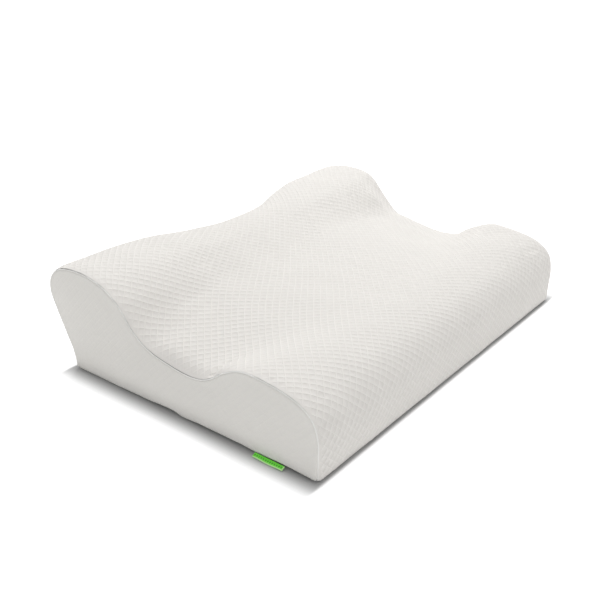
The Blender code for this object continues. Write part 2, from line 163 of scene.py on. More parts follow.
def settle(points):
    """Rounds the upright corners near the base and lifts the foot of each end off the ground in places."""
    p = np.array(points, float)
    height = np.clip((p[:, 2] - CORNER_FADE[0]) / (CORNER_FADE[1] - CORNER_FADE[0]), 0, 1)
    amount = 1 - (1 - CORNER_LEFT_ABOVE) * ease(height)
    across = np.abs(p[:, 0]) - (END_X - CORNER_RADIUS)
    for edge, sign in ((FRONT_Y, -1), (BACK_Y, 1)):
        deep = sign * (p[:, 1] - edge) + CORNER_RADIUS
        near = (across > 0) & (deep > 0)
        square = np.maximum(across, deep)
        shrink = np.where(near, square / np.hypot(np.where(near, across, 1), np.where(near, deep, 1)), 1)
        share = amount if sign < 0 else 1 - ease(p[:, 2] / BACK_CORNER_FADE)
        shrink = 1 - (1 - shrink) * share
        p[:, 0] = np.where(near, np.sign(p[:, 0]) * (END_X - CORNER_RADIUS + across * shrink), p[:, 0])
        p[:, 1] = np.where(near, edge + sign * (deep * shrink - CORNER_RADIUS), p[:, 1])
    at_end = ease((np.abs(p[:, 0]) - 0.255) / 0.040)
    places, lifts = np.array(FOOT_LIFT).T
    k = np.clip(np.searchsorted(places, p[:, 1]) - 1, 0, len(places) - 2)
    share = ease((p[:, 1] - places[k]) / (places[k + 1] - places[k]))
    lift = lifts[k] + (lifts[k + 1] - lifts[k]) * share
    p[:, 2] += lift * at_end * np.exp(-np.maximum(p[:, 2], 0) / LIFT_FADE)
    return p


def bell(distance, width):
    """1 at no distance, falling smoothly to nothing over a few widths."""
    return np.exp(-((distance / width) ** 2))


def ripple(a, b, scale, seed):
    """Smooth, never quite repeating ups and downs between about -1 and 1."""
    waves = np.random.default_rng(seed)
    total = np.zeros(np.broadcast(a, b).shape)
    for _ in range(9):
        turn, size = waves.uniform(0, math.tau), scale * waves.uniform(0.6, 1.7)
        shift = waves.uniform(0, math.tau)
        total += np.sin(math.tau * (a * math.cos(turn) + b * math.sin(turn)) / size + shift)
    return total / 4.5


# ---------------- the cloth's own shape, by simulation

SKIN_VOXEL = 0.006
SKIN_INSET = 0.0012  # the skin starts smaller, because it swells
SKIN_FRAMES = 20
SEAM_HOLD = 0.005  # points this near to a seam stay put
MOST_LIE = 0.0028
LIE_FROM = (0.130, 0.235)  # the cloth lies tight over the middle, and this far out by its own shape
NEIGHBOURS = 8
SLACK_PLACES = ((-0.300, -0.074), (0.300, -0.074))  # where the cloth is a little too long for its seam
SLACK_REACH = 0.040


def skin_mesh():
    """A closed, evenly meshed copy of the cover, a little too small."""
    places = np.linspace(-1, 1, 61) * (END_X - SKIN_INSET)
    rows = [evenly(outline(x, SKIN_INSET, 0.002, 0.002), 120) for x in places]
    points = [(x, y, z) for x, row in zip(places, rows) for y, z in row]
    count = len(rows[0])
    faces = grid_faces(len(places), count, flip=True, wrap=True) + end_caps(len(places), count)
    mesh = bpy.data.meshes.new("skin")
    mesh.from_pydata(points, [], faces)
    skin = add_object("skin", mesh)
    even = skin.modifiers.new("Even", "REMESH")
    even.mode, even.voxel_size, even.adaptivity = "VOXEL", SKIN_VOXEL, 0.0
    graph = bpy.context.evaluated_depsgraph_get()
    skin.data = bpy.data.meshes.new_from_object(skin.evaluated_get(graph))
    skin.modifiers.clear()
    return skin


def coordinates(mesh):
    flat = np.empty(len(mesh.vertices) * 3, np.float32)
    mesh.vertices.foreach_get("co", flat)
    return flat.reshape(-1, 3).astype(float)


def seam_distance(points):
    """How far each point is from the nearer end seam, or from the foot."""
    best = np.full(len(points), 1e9)
    for sign in (-1, 1):
        near = np.abs(points[:, 0] - sign * END_X) < 0.05
        loop = evenly(outline(sign * END_X, SKIN_INSET, 0.0, 0.0, domed=False), 160)
        away = distance_to_loop(points[near][:, 1:], loop)
        best[near] = np.hypot(away, sign * END_X - points[near][:, 0])
    return np.minimum(best, np.maximum(points[:, 2] - 0.002, 0))


def simulate_lie():
    """Blows the skin up over its held seams, with some slack by the low lobe: (start, move) of each point."""
    skin = skin_mesh()
    start = coordinates(skin.data)
    held = seam_distance(start)
    pins = skin.vertex_groups.new(name="held")
    for k in np.flatnonzero(held < SEAM_HOLD).tolist():
        pins.add([k], 1.0, "REPLACE")
    slack = skin.vertex_groups.new(name="slack")
    loose = 0.25 * bell(END_X - np.abs(start[:, 0]), 0.03)
    for x, y in SLACK_PLACES:
        squared = (start[:, 0] - x) ** 2 + (start[:, 1] - y) ** 2
        loose = np.maximum(loose, np.exp(-(squared / SLACK_REACH**2)))
    for k in np.flatnonzero(loose > 0.01).tolist():
        slack.add([k], float(loose[k]), "REPLACE")
    cloth = skin.modifiers.new("Cloth", "CLOTH")
    rules = cloth.settings
    rules.quality = 5
    rules.mass = 0.3
    rules.tension_stiffness = rules.compression_stiffness = 25
    rules.shear_stiffness = 12
    rules.bending_stiffness = 0.6
    rules.tension_damping = rules.compression_damping = rules.shear_damping = 10
    rules.air_damping = 2
    rules.use_pressure = True
    rules.uniform_pressure_force = 2.5
    rules.vertex_group_mass = "held"
    rules.shrink_min, rules.shrink_max = 0.0, -0.035
    rules.vertex_group_shrink = "slack"
    rules.effector_weights.gravity = 0.0
    cloth.collision_settings.use_collision = False
    for moment in range(1, SKIN_FRAMES + 1):
        SCENE.frame_set(moment)
    graph = bpy.context.evaluated_depsgraph_get()
    moved = coordinates(skin.evaluated_get(graph).data)
    bpy.data.objects.remove(skin, do_unlink=True)
    SCENE.frame_set(1)
    return start, moved - start


class Lie:
    """Reads how the simulated skin moved at any place near it."""

    def __init__(self):
        self.tree = None
        start, self.move = simulate_lie()
        self.tree = KDTree(len(start))
        for k, place in enumerate(start.tolist()):
            self.tree.insert(place, k)
        self.tree.balance()

    def __call__(self, points):
        points = np.asarray(points, float).reshape(-1, 3)
        if self.tree is None:
            return np.zeros_like(points)
        total = np.empty_like(points)
        for k, place in enumerate(points.tolist()):
            found = self.tree.find_n(place, NEIGHBOURS)
            away = np.array([f[2] for f in found])
            weight = 1 / (away + 0.002) ** 2 * np.clip(1 - away / (away[-1] + 1e-9), 0, 1)
            total[k] = weight @ self.move[[f[1] for f in found]] / weight.sum()
        size = np.linalg.norm(total, axis=1, keepdims=True)
        total *= ease((np.abs(points[:, :1]) - LIE_FROM[0]) / (LIE_FROM[1] - LIE_FROM[0]))
        return total * np.minimum(1, MOST_LIE / np.maximum(size, 1e-9))


def cubic_resample(values, at):
    """Rows read at fractional places, on a curve with no kinks."""
    i = np.clip(np.floor(at).astype(int), 0, len(values) - 2)
    t = (at - i).reshape(-1, *[1] * (values.ndim - 1))
    a, b, c, d = (values[np.clip(i + k, 0, len(values) - 1)] for k in (-1, 0, 1, 2))
    return b + 0.5 * t * (c - a + t * (2 * a - 5 * b + 4 * c - d + t * (3 * (b - c) + d - a)))


def lie_of_grid(grid, every):
    """The move at each point of a fine grid, looked up at every few points and joined smoothly."""
    rows, columns = grid.shape[:2]
    i, j = (np.minimum(np.arange(0, last + every, every), last) for last in (rows - 1, columns - 1))
    coarse = lie_of(grid[np.ix_(i, j)]).reshape(len(i), len(j), 3)
    coarse = cubic_resample(coarse, np.interp(np.arange(rows), i, np.arange(len(i))))
    across = cubic_resample(coarse.transpose(1, 0, 2), np.interp(np.arange(columns), j, np.arange(len(j))))
    return across.transpose(1, 0, 2)


# ---------------- meshes


def mesh_piece(name, points, faces, material, nodes, uv=None, body="pillow"):
    """A smooth piece that stands for CAD nodes; uv holds its points' places on the flat cloth, in metres."""
    mesh = bpy.data.meshes.new(name)
    mesh.from_pydata(np.asarray(points, float).reshape(-1, 3).tolist(), [], faces)
    mesh.materials.append(material)
    if uv is not None:
        corners = np.empty(len(mesh.loops), np.int32)
        mesh.loops.foreach_get("vertex_index", corners)
        layer = mesh.uv_layers.new(name="Cloth")
        layer.data.foreach_set("uv", np.asarray(uv, np.float32).reshape(-1, 2)[corners].ravel())
    mesh.shade_smooth()
    piece = add_object(name, mesh)
    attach(piece, body)
    if nodes:
        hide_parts(*nodes)
    return piece


def with_x(places, sections):
    """A grid of (x, y, z) points from one (y, z) section for each x."""
    x = np.broadcast_to(places[:, None, None], (*sections.shape[:2], 1))
    return np.concatenate([x, sections], axis=2)


def grid_faces(rows, columns, flip=False, wrap=False):
    """Quads between rows of points; wrap joins each row's ends."""
    i, j = np.meshgrid(np.arange(rows - 1), np.arange(columns if wrap else columns - 1), indexing="ij")
    a, b = i * columns + j, i * columns + (j + 1) % columns
    quads = np.stack([a, b, b + columns, a + columns], axis=-1).reshape(-1, 4)
    return (quads[:, ::-1] if flip else quads).tolist()


def end_caps(rows, columns):
    """The two polygons that close a wrapped grid of faces."""
    last = (rows - 1) * columns
    return [list(range(columns)), [last + j for j in reversed(range(columns))]]


def grid_normals(grid):
    """Unit normals of a grid of points."""
    across, along = np.gradient(grid, axis=0), np.gradient(grid, axis=1)
    normals = np.cross(across, along)
    return normals / np.maximum(np.linalg.norm(normals, axis=-1, keepdims=True), 1e-12)


def tube(path, radius, sides, closed=False):
    """Points and faces of a round tube along a path; radius may differ along it."""
    path = np.asarray(path, float)
    count = len(path)
    ahead = np.roll(path, -1, 0) - np.roll(path, 1, 0) if closed else np.gradient(path, axis=0)
    ahead /= np.linalg.norm(ahead, axis=1, keepdims=True)
    side = np.zeros_like(path)
    up = np.array((0.0, 0.0, 1.0)) if abs(ahead[0, 2]) < 0.9 else np.array((1.0, 0.0, 0.0))
    previous = np.cross(ahead[0], up)
    for i in range(count):  # carry the side along so that the tube doesn't twist
        previous = previous - ahead[i] * (previous @ ahead[i])
        previous /= np.linalg.norm(previous)
        side[i] = previous
    other = np.cross(ahead, side)
    turns = np.arange(sides) / sides * math.tau
    radius = np.broadcast_to(radius, count)[:, None, None]
    ring = np.cos(turns)[:, None] * side[:, None] + np.sin(turns)[:, None] * other[:, None]
    points = (path[:, None] + radius * ring).reshape(-1, 3)
    faces = grid_faces(count, sides, wrap=True)
    if closed:
        last = (count - 1) * sides
        faces += [[last + j, last + (j + 1) % sides, (j + 1) % sides, j] for j in range(sides)]
    else:
        faces += [list(range(sides))[::-1], [(count - 1) * sides + j for j in range(sides)]]
    return points, faces


def thicken(piece, thickness, offset):
    shell = piece.modifiers.new("Thickness", "SOLIDIFY")
    shell.thickness, shell.offset = thickness, offset


def gather(parts):
    """Joins lists of (points, faces)."""
    points, faces, start = [], [], 0
    for some, theirs in parts:
        points.append(some)
        faces += [[k + start for k in face] for face in theirs]
        start += len(some)
    return np.vstack(points), faces


# ---------------- materials


def times(colour, share):
    return tuple(c * share for c in colour)


class Material:
    """A Principled material with small helpers to build its nodes."""

    def __init__(self, name, roughness, sheen=0.0, coat=0.0):
        self.made = bpy.data.materials.new(name)
        self.made.use_nodes = True
        self.tree = self.made.node_tree
        self.shader = self.tree.nodes["Principled BSDF"]
        fixed = {"Roughness": roughness, "Sheen Weight": sheen, "Sheen Roughness": 0.45, "Coat Weight": coat}
        for key, value in fixed.items():
            self.shader.inputs[key].default_value = value

    def node(self, kind, **settings):
        made = self.tree.nodes.new("ShaderNode" + kind)
        for key, value in settings.items():
            setattr(made, key, value)
        return made

    def link(self, value, socket):
        if isinstance(value, bpy.types.NodeSocket):
            self.tree.links.new(value, socket)
        else:
            socket.default_value = value

    def math(self, operation, *values):
        made = self.node("Math", operation=operation)
        for value, socket in zip(values, made.inputs):
            self.link(value, socket)
        return made.outputs[0]

    def product(self, a, b):
        return self.math("MULTIPLY", a, b)

    def sum(self, a, b):
        return self.math("ADD", a, b)

    def less(self, a, b):
        return self.math("SUBTRACT", a, b)

    def size(self, a):
        return self.math("ABSOLUTE", a)

    def wave(self, place, pitch):
        """The sine of a place, coming round once in each pitch."""
        return self.math("SINE", self.product(place, math.tau / pitch))

    def affine(self, a, slope, start):
        return self.math("MULTIPLY_ADD", a, slope, start)

    def mix(self, share, a, b):
        made = self.node("Mix", data_type="RGBA")
        self.link(share, made.inputs["Factor"])
        for value, socket in ((a, "A"), (b, "B")):
            self.link((*value, 1.0) if isinstance(value, tuple) else value, made.inputs[socket])
        return made.outputs["Result"]

    def ramp(self, value, start, stop, smooth=True, falling=False):
        """0 to 1 as the value goes from start to stop, or 1 to 0."""
        made = self.node("MapRange", interpolation_type="SMOOTHSTEP" if smooth else "LINEAR")
        self.link(value, made.inputs["Value"])
        made.inputs["From Min"].default_value, made.inputs["From Max"].default_value = start, stop
        if falling:
            made.inputs["To Min"].default_value, made.inputs["To Max"].default_value = 1.0, 0.0
        return made.outputs[0]

    def object_place(self):
        return self.node("TexCoord").outputs["Object"]

    def texture(self, kind, scale, **settings):
        made = self.node(kind, **settings)
        self.link(self.object_place(), made.inputs["Vector"])
        made.inputs["Scale"].default_value = scale
        return made

    def flat_place(self):
        """The place on the flat cloth, in metres, as (across, along)."""
        split = self.node("SeparateXYZ")
        self.link(self.node("UVMap", uv_map="Cloth").outputs[0], split.inputs[0])
        return split.outputs[0], split.outputs[1]

    def ring_outside(self, beside_ends, beside_walls):
        """0 under the pillow, rising to 1 this far outside its ends and its long walls."""
        split = self.node("SeparateXYZ")
        self.link(self.object_place(), split.inputs[0])
        middle, half = (FRONT_Y + BACK_Y) / 2, (BACK_Y - FRONT_Y) / 2
        squares = []
        for place, reach, wide in (
            (self.size(split.outputs[0]), END_X, beside_ends),
            (self.size(self.less(split.outputs[1], middle)), half, beside_walls),
        ):
            out = self.math("DIVIDE", self.math("MAXIMUM", self.less(place, reach), 0.0), wide)
            squares.append(self.product(out, out))
        return self.ramp(self.math("SQRT", self.sum(*squares)), 0.0, 1.0)

    def noise(self, scale, detail=3.0):
        made = self.texture("TexNoise", scale)
        made.inputs["Detail"].default_value = detail
        return made.outputs["Fac"]

    def bump(self, height, distance, strength=1.0, after=None):
        made = self.node("Bump")
        made.inputs["Strength"].default_value = strength
        made.inputs["Distance"].default_value = distance
        self.link(height, made.inputs["Height"])
        if after is not None:
            self.link(after, made.inputs["Normal"])
        return made.outputs[0]

    def finish(self, colour, normal=None, roughness=None):
        self.link(colour, self.shader.inputs["Base Color"])
        if normal is not None:
            self.link(normal, self.shader.inputs["Normal"])
        if roughness is not None:
            self.link(roughness, self.shader.inputs["Roughness"])
        return self.made

    def knit(self, wale, course, lean=0.6):
        """Height of rows of V-shaped knit stitches, 0 to 1."""
        across, along = self.flat_place()
        column = self.math("DIVIDE", across, wale)
        slope = self.product(self.math("PINGPONG", column, 0.5), 2 * lean)
        row = self.sum(self.math("DIVIDE", along, course), slope)
        loops = self.math("SINE", self.product(row, math.tau))
        ribs = self.size(self.math("SINE", self.product(column, math.pi)))
        both = self.sum(self.product(loops, 0.28), self.product(ribs, 0.44))
        return self.sum(both, 0.28)

    def weave(self, warp, weft):
        """Height of a plain weave, 0 to 1."""
        across, along = self.flat_place()
        a = self.wave(across, warp)
        b = self.wave(along, weft)
        return self.affine(self.product(a, b), 0.5, 0.5)

    def diamonds(self, cell, width, until):
        """Height of fine raised lines round diamonds this long from corner to corner, 0 to 1.

        They fade out this far across from the middle.
        """
        across, along = self.flat_place()
        lines = []
        for sign in ("ADD", "SUBTRACT"):
            place = self.math("DIVIDE", self.math(sign, across, along), cell)
            lines.append(self.product(self.math("PINGPONG", place, 0.5), cell / math.sqrt(2)))
        raised = self.ramp(self.math("MINIMUM", *lines), 0.0, width, falling=True)
        fade = self.ramp(self.size(across), until - 0.006, until, falling=True)
        return self.product(raised, fade)


def knit_material(name, light, hollow_shade, wale, course, sheen, cell=None, depth=0.0, cell_shade_share=0.0):
    """Knitted yarn: the stitches' low edges and the diamonds between the raised lines are painted darker, as
    painted shade in the hollows.
    """
    m = Material(name, 0.86, sheen=sheen)
    stitches = m.knit(wale, course)
    slow = m.noise(7.0, 2.0)
    fuzz = m.noise(2600.0, 2.0)
    colour = m.mix(slow, light, times(light, 0.975))
    # painted shade: the low edges of the stitches are mixed toward the dark colour
    colour = m.mix(m.product(m.less(1.0, stitches), 0.22), colour, hollow_shade)
    normal = m.bump(stitches, 0.00022, 0.55)
    normal = m.bump(fuzz, 0.00010, 0.35, normal)
    if cell:
        lines = m.diamonds(cell, 0.0011, END_X - 0.0012)
        # painted shade: the diamond cells between the raised lines are mixed toward the dark colour
        colour = m.mix(m.product(m.less(1.0, lines), cell_shade_share), colour, hollow_shade)
        normal = m.bump(lines, depth, 1.0, normal)
    rough = m.affine(stitches, -0.08, 0.92)
    return m.finish(colour, normal, rough)


# the second colour is painted shade for the knit's hollows
KNIT_LIGHT, KNIT_HOLLOW_SHADE = (0.815, 0.79, 0.757), (0.60, 0.58, 0.55)
DIAMOND = 0.0119  # from corner to corner
SIDE_DIAMOND = 0.0108
knit = knit_material("diamond knit", KNIT_LIGHT, KNIT_HOLLOW_SHADE, 0.00125, 0.00105, 0.2, DIAMOND, 0.00036, 0.30)
# the end panels' knit is the top knit painted about 8% darker: painted shade for the ends, which stand in
# shadow
shaded_end_knit = knit_material(
    "end panel knit", (0.745, 0.73, 0.695), KNIT_HOLLOW_SHADE, 0.00125, 0.00105, 0.15, SIDE_DIAMOND, 0.00014, 0.08
)
base_knit = knit_material("base knit", (0.76, 0.75, 0.73), KNIT_HOLLOW_SHADE, 0.0011, 0.0009, 0.15)
jersey = knit_material("liner jersey", (0.80, 0.80, 0.79), (0.66, 0.66, 0.65), 0.0009, 0.0007, 0.15)


def thread_material(name, colour):
    """Twisted sewing thread, painted darker in the grooves between its strands: painted shade."""
    m = Material(name, 0.7, sheen=0.2)
    strands = m.texture("TexWave", 900.0, bands_direction="DIAGONAL").outputs["Fac"]
    # painted shade in the grooves between the strands
    shade = m.mix(strands, times(colour, 0.9), colour)
    return m.finish(shade, m.bump(strands, 0.00008, 0.6))


def tape_material(name, colour):
    """Close woven polyester tape, painted darker where the weave dips as painted shade; the slow cloud is its
    own uneven tone.
    """
    m = Material(name, 0.75, sheen=0.15)
    threads = m.weave(0.0009, 0.0006)
    # painted shade: darker where the weave dips
    shade = m.mix(threads, times(colour, 0.82), colour)
    shade = m.mix(m.product(m.noise(30.0), 0.15), shade, times(colour, 0.9))
    return m.finish(shade, m.bump(threads, 0.00012, 0.7))


def nylon_material(name, colour):
    m = Material(name, 0.36, coat=0.15)
    cloud = m.noise(260.0, 4.0)
    shade = m.mix(cloud, times(colour, 0.95), colour)
    return m.finish(shade, m.bump(cloud, 0.00003, 0.3), m.affine(cloud, 0.18, 0.28))


def enamel_material(name, colour, bare):
    """White enamel on zinc, with small chips that show the metal."""
    m = Material(name, 0.32, coat=0.4)
    chips = m.ramp(m.noise(420.0, 5.0), 0.66, 0.70, smooth=False)
    cloud = m.noise(90.0, 3.0)
    shade = m.mix(m.product(cloud, 0.4), colour, times(colour, 0.92))
    shade = m.mix(m.product(chips, 0.55), shade, bare)
    rough = m.affine(cloud, 0.22, 0.22)
    return m.finish(shade, m.bump(cloud, 0.00004, 0.4), rough)


def foam_material(name, colour):
    """Open-cell foam: fine pores, painted darker where they sink in as painted shade, and a soft, slightly
    uneven skin.
    """
    m = Material(name, 0.95, sheen=0.05)
    cells = m.texture("TexVoronoi", 900.0, feature="DISTANCE_TO_EDGE")
    pores = m.product(cells.outputs["Distance"], 3.0)
    # painted shade: darker where the pores sink in
    shade = m.mix(pores, times(colour, 0.78), colour)
    shade = m.mix(m.product(m.noise(18.0), 0.3), shade, times(colour, 0.93))
    return m.finish(shade, m.bump(pores, 0.0003, 0.8))


RIB_PITCH = 0.0007
FIGURE_HALF_PITCH, FIGURE_MIDDLE, FIGURE_REACH = 0.0016, 0.0031, 0.0013
BORDER_BEYOND, BORDER_AT_START = 0.0051, 0.0014


def label_material(name, ground, border, figure):
    """Woven ribbon: a plain ground with a row of small diamonds and a lighter border.

    Here across runs along the strip, and along runs from its seam to its fold.
    """
    m = Material(name, 0.5, sheen=0.25)
    across, along = m.flat_place()
    rib = m.affine(m.wave(across, RIB_PITCH), 0.5, 0.5)
    cell = m.math("PINGPONG", across, FIGURE_HALF_PITCH)
    depth = m.size(m.less(along, FIGURE_MIDDLE))
    inside = m.math("LESS_THAN", m.sum(cell, depth), FIGURE_REACH)
    at_fold = m.math("GREATER_THAN", along, BORDER_BEYOND)
    edge = m.math("MAXIMUM", at_fold, m.math("LESS_THAN", across, BORDER_AT_START))
    shade = m.mix(inside, ground, figure)
    shade = m.mix(edge, shade, border)
    shade = m.mix(m.product(rib, 0.22), shade, times(ground, 0.6))
    return m.finish(shade, m.bump(rib, 0.00010, 0.6))


def satin_material(name, colour):
    m = Material(name, 0.38, sheen=0.2)
    threads = m.weave(0.0005, 0.0012)
    # painted shade: the satin is darker where the weave dips
    shade = m.mix(threads, times(colour, 0.9), colour)
    return m.finish(shade, m.bump(threads, 0.00006, 0.5), m.affine(threads, 0.15, 0.32))


thread = thread_material("seam thread", (0.86, 0.855, 0.83))
tape_cloth = tape_material("zipper tape", (0.78, 0.78, 0.77))
nylon = nylon_material("nylon teeth", (0.80, 0.80, 0.79))
enamel = enamel_material("white enamel", (0.80, 0.80, 0.79), (0.45, 0.44, 0.42))
foam = foam_material("memory foam", (0.90, 0.85, 0.69))
green = label_material("green label", (0.20, 0.97, 0.05), (0.64, 1.0, 0.46), (0.050, 0.46, 0.016))
satin = satin_material("care label satin", (0.68, 0.675, 0.66))

# ---------------- the cover's top panel

PER_DIAMOND = 5  # mesh steps from corner to corner
STEP = DIAMOND / PER_DIAMOND
RELIEF = 0.00075
RELIEF_SHAPE = (1.0, 0.22, 0.0)  # height 0, 1 and 2 mesh steps away from a raised line
FOOT_CURL = 0.0045
FOOT_TOP = FOOT_CURL + 0.0012
FOOT_TURN = math.radians(76)
FOOT_ROWS = 6
HEM_CURL = 0.0009
EDGE_X = END_X - 0.0007  # the panel's cut edge, in the end seam
PLAIN_EDGE = (0.0012, 0.0065)  # the relief fades out this near to the end seams


def diamond_relief(across, along):
    """Raised lines round diamonds, 0 to 1. Both are in mesh steps."""
    a, b = (across + along) / PER_DIAMOND, (across - along) / PER_DIAMOND
    off = np.minimum(np.abs(a - np.round(a)), np.abs(b - np.round(b)))
    return np.interp(off * PER_DIAMOND, range(len(RELIEF_SHAPE)), RELIEF_SHAPE)


def ridge_triangles(across, along, height):
    """Two triangles for each mesh cell, split along the diagonal that the relief follows."""
    i, j = np.meshgrid(np.arange(len(across) - 1), np.arange(len(along) - 1), indexing="ij")
    middle = diamond_relief((across[:-1] + across[1:])[:, None] / 2, (along[:-1] + along[1:])[None, :] / 2)
    rising = np.abs((height[:-1, :-1] + height[1:, 1:]) / 2 - middle)
    falling = np.abs((height[1:, :-1] + height[:-1, 1:]) / 2 - middle)
    a = i * len(along) + j
    b, c, d = a + len(along), a + len(along) + 1, a + 1
    up = np.stack([a, b, c, a, c, d], axis=-1)[rising <= falling]
    down = np.stack([a, b, d, b, c, d], axis=-1)[rising > falling]
    return np.vstack([up, down]).reshape(-1, 3).tolist()


def top_panel_section(x):
    """The top panel's path at x: a curled foot, the body, and the turned-in hem."""
    curve = outline(x, 0.0, FOOT_TOP, HEM_Z + HEM_CURL)
    turns = np.linspace(FOOT_TURN, 0, FOOT_ROWS, endpoint=False)
    foot = np.stack([FRONT_Y + FOOT_CURL * (1 - np.cos(turns)), FOOT_TOP - FOOT_CURL * np.sin(turns)], axis=1)
    turns = np.linspace(0, math.pi, 6)[1:]
    hem = np.stack([BACK_Y - HEM_CURL * (1 - np.cos(turns)), HEM_Z + HEM_CURL * (1 - np.sin(turns))], axis=1)
    hem = np.vstack([hem, (BACK_Y - 2 * HEM_CURL, HEM_Z + 0.0035), (BACK_Y - 2 * HEM_CURL, HEM_Z + 0.0065)])
    return np.vstack([foot, evenly(curve, ROWS), hem])


PANEL_LENGTH = float(lengths_along(outline(0.2))[-1])
ROWS = int(round(PANEL_LENGTH / STEP))
CROWDED = 0.0085  # the mesh is finer this near to the end seams
columns = int((END_X - CROWDED) / STEP)
inner_x = np.arange(-columns, columns + 1) * STEP
edge_x = EDGE_X - CROWDED * (1 - np.sin(np.linspace(0, 1, 9)[1:] * math.pi / 2))
edge_x = edge_x[edge_x > inner_x[-1] + 0.0006]
x_places = np.concatenate([-edge_x[::-1], inner_x, edge_x])


FOLDS = (  # (x, y) from, (x, y) to, half width, depth: soft hollows behind and beside the low lobe's ridge
    ((-0.294, -0.066), (-0.262, -0.070), 0.0040, 0.0050),
    ((-0.296, -0.079), (-0.262, -0.080), 0.0055, -0.0018),
    ((0.294, -0.066), (0.266, -0.068), 0.0040, 0.0032),
    ((0.296, -0.080), (0.268, -0.080), 0.0055, -0.0014),
)
SHOULDER = (0.0056, 0.0020)  # how far the foam's edge lifts the cloth just inside the left and right seams
SHOULDER_Y = (-0.112, 0.045)
DEEPEST = 0.0024  # the liner is under the cloth
TUCKS, TUCK_Y, TUCK_DEPTH = 4, (-0.128, -0.168), 0.0011


def by_the_shoulder(y):
    return ease((y - SHOULDER_Y[0]) / 0.03) * ease((SHOULDER_Y[1] - y) / 0.04)


def cloth_lie(grid, normals):
    """How far each point of the top panel lies off the smooth form: slow waves, folds and tucks."""
    x, y = grid[..., 0], grid[..., 1]
    off = 0.00045 * ripple(x, y, 0.085, 3)
    out = np.maximum(END_X - np.abs(x), 0)
    off += 0.00035 * np.exp(-out / 0.010) * ripple(y + 0.3 * np.sign(x), grid[..., 2], 0.016, 5)
    facing_up = np.clip(normals[..., 2], 0, 1)
    rise = 1 - np.exp(-((np.maximum(out - 0.0009, 0) / 0.0075) ** 1.4))
    tall = np.where(x < 0, SHOULDER[0], SHOULDER[1])
    off += tall * by_the_shoulder(y) * facing_up * rise * bell(out, 0.050)
    at_seam = ease(out / 0.006)
    for (x0, y0), (x1, y1), wide, deep in FOLDS:
        dx, dy = x1 - x0, y1 - y0
        t = np.clip(((x - x0) * dx + (y - y0) * dy) / (dx * dx + dy * dy), 0, 1)
        away = np.hypot(x - x0 - t * dx, y - y0 - t * dy)
        off -= deep * bell(away, wide) * (1 - t) ** 0.7 * facing_up * at_seam
    for side in (-1, 1):
        for k in range(TUCKS):
            place = TUCK_Y[0] + (TUCK_Y[1] - TUCK_Y[0]) * (k + 0.3 * math.sin(2.3 * k + side)) / (TUCKS - 1)
            away = np.abs(END_X - side * x)
            off -= TUCK_DEPTH * bell(y - place, 0.0020) * bell(away, 0.013) * at_seam * facing_up
    return np.maximum(off, -DEEPEST)


def make_top_panel():
    grid = with_x(x_places, np.array([top_panel_section(x) for x in x_places]))
    along = np.arange(grid.shape[1]) - FOOT_ROWS
    normals = grid_normals(grid)
    across = x_places / STEP
    relief = diamond_relief(across[:, None], along.astype(float))
    plain = by_the_shoulder(grid[..., 1])
    edge = EDGE_X - np.abs(x_places)[:, None] - PLAIN_EDGE[0] - 0.004 * plain
    edge = ease(edge / (PLAIN_EDGE[1] - PLAIN_EDGE[0] + 0.005 * plain))
    foot, hem = ease((along + FOOT_ROWS) / FOOT_ROWS), ease((ROWS + 1 - along) / 3)
    height = relief * edge * foot * hem
    off = cloth_lie(grid, normals) * (foot * hem)
    moved = lie_of_grid(grid, 3) * (foot * hem)[..., None]
    points = grid + moved + normals * (off + RELIEF * (height - 0.4 * edge * foot * hem))[..., None]
    points = settle(points.reshape(-1, 3))
    faces = ridge_triangles(across, along, relief)
    uv = np.stack(np.broadcast_arrays(x_places[:, None], along * STEP), axis=-1)
    piece = mesh_piece("knit_cover_top", points, faces, knit, ["cover_top_panel"], uv)


# ---------------- the end panels

SIDE_INSET = 0.0013  # the panel's cut edge, inside the outline
SIDE_LIP = ((0, 0.0006, 0.0014, 0.0024, 0.0040), (-0.0005, -0.0001, 0.0002, 0.0003, 0.0003))
SIDE_PUFF = 0.0022
SIDE_RINGS = (0.0, 0.0004, 0.0009, 0.0015, 0.0023, 0.0034, 0.0048, 0.0065)
SIDE_RELIEF = 0.00007
SIDE_STEP = SIDE_DIAMOND / math.sqrt(2) / 4
CORNER_CUT = 0.006


def round_corners(points, radius, steps=6):
    """The closed outline's two foot corners, cut round."""
    front, back = points[0], points[-1]
    out = [p for p in points if p[1] > front[1] + radius]
    turns = np.linspace(0, math.pi / 2, steps + 1)
    bends = [(radius * (1 - math.cos(a)), radius * (1 - math.sin(a))) for a in turns]
    right = [(back[0] - short, back[1] + tall) for short, tall in bends]
    left = [(front[0] + tall, front[1] + short) for short, tall in bends]
    width = back[0] - front[0] - 2 * radius
    count = int(width / 0.004)
    foot = [(back[0] - radius - width * k / count, back[1]) for k in range(1, count)]
    return np.array(out + right + foot + left)


def inset_loop(points, distance):
    ahead = np.roll(points, -1, 0) - np.roll(points, 1, 0)
    ahead /= np.linalg.norm(ahead, axis=1, keepdims=True)
    return points + distance * np.stack([ahead[:, 1], -ahead[:, 0]], axis=1)


def distance_to_loop(points, loop):
    a, b = loop, np.roll(loop, -1, 0)
    best = np.full(len(points), 1e9)
    for start, stop in zip(a, b):
        leg = stop - start
        t = np.clip(((points - start) @ leg) / (leg @ leg), 0, 1)
        best = np.minimum(best, np.linalg.norm(points - start - t[:, None] * leg, axis=1))
    return best


def inside_loop(points, loop):
    hit = np.zeros(len(points), bool)
    a, b = loop, np.roll(loop, -1, 0)
    for (y0, z0), (y1, z1) in zip(a, b):
        crosses = (z0 > points[:, 1]) != (z1 > points[:, 1])
        with np.errstate(divide="ignore", invalid="ignore"):
            at = y0 + (points[:, 1] - z0) * (y1 - y0) / (z1 - z0)
        hit ^= crosses & (points[:, 0] < at)
    return hit


def end_outline(sign, inset, foot, count=300):
    curve = outline(sign * END_X, inset, foot, foot, domed=False)
    return round_corners(evenly(curve, count), CORNER_CUT)


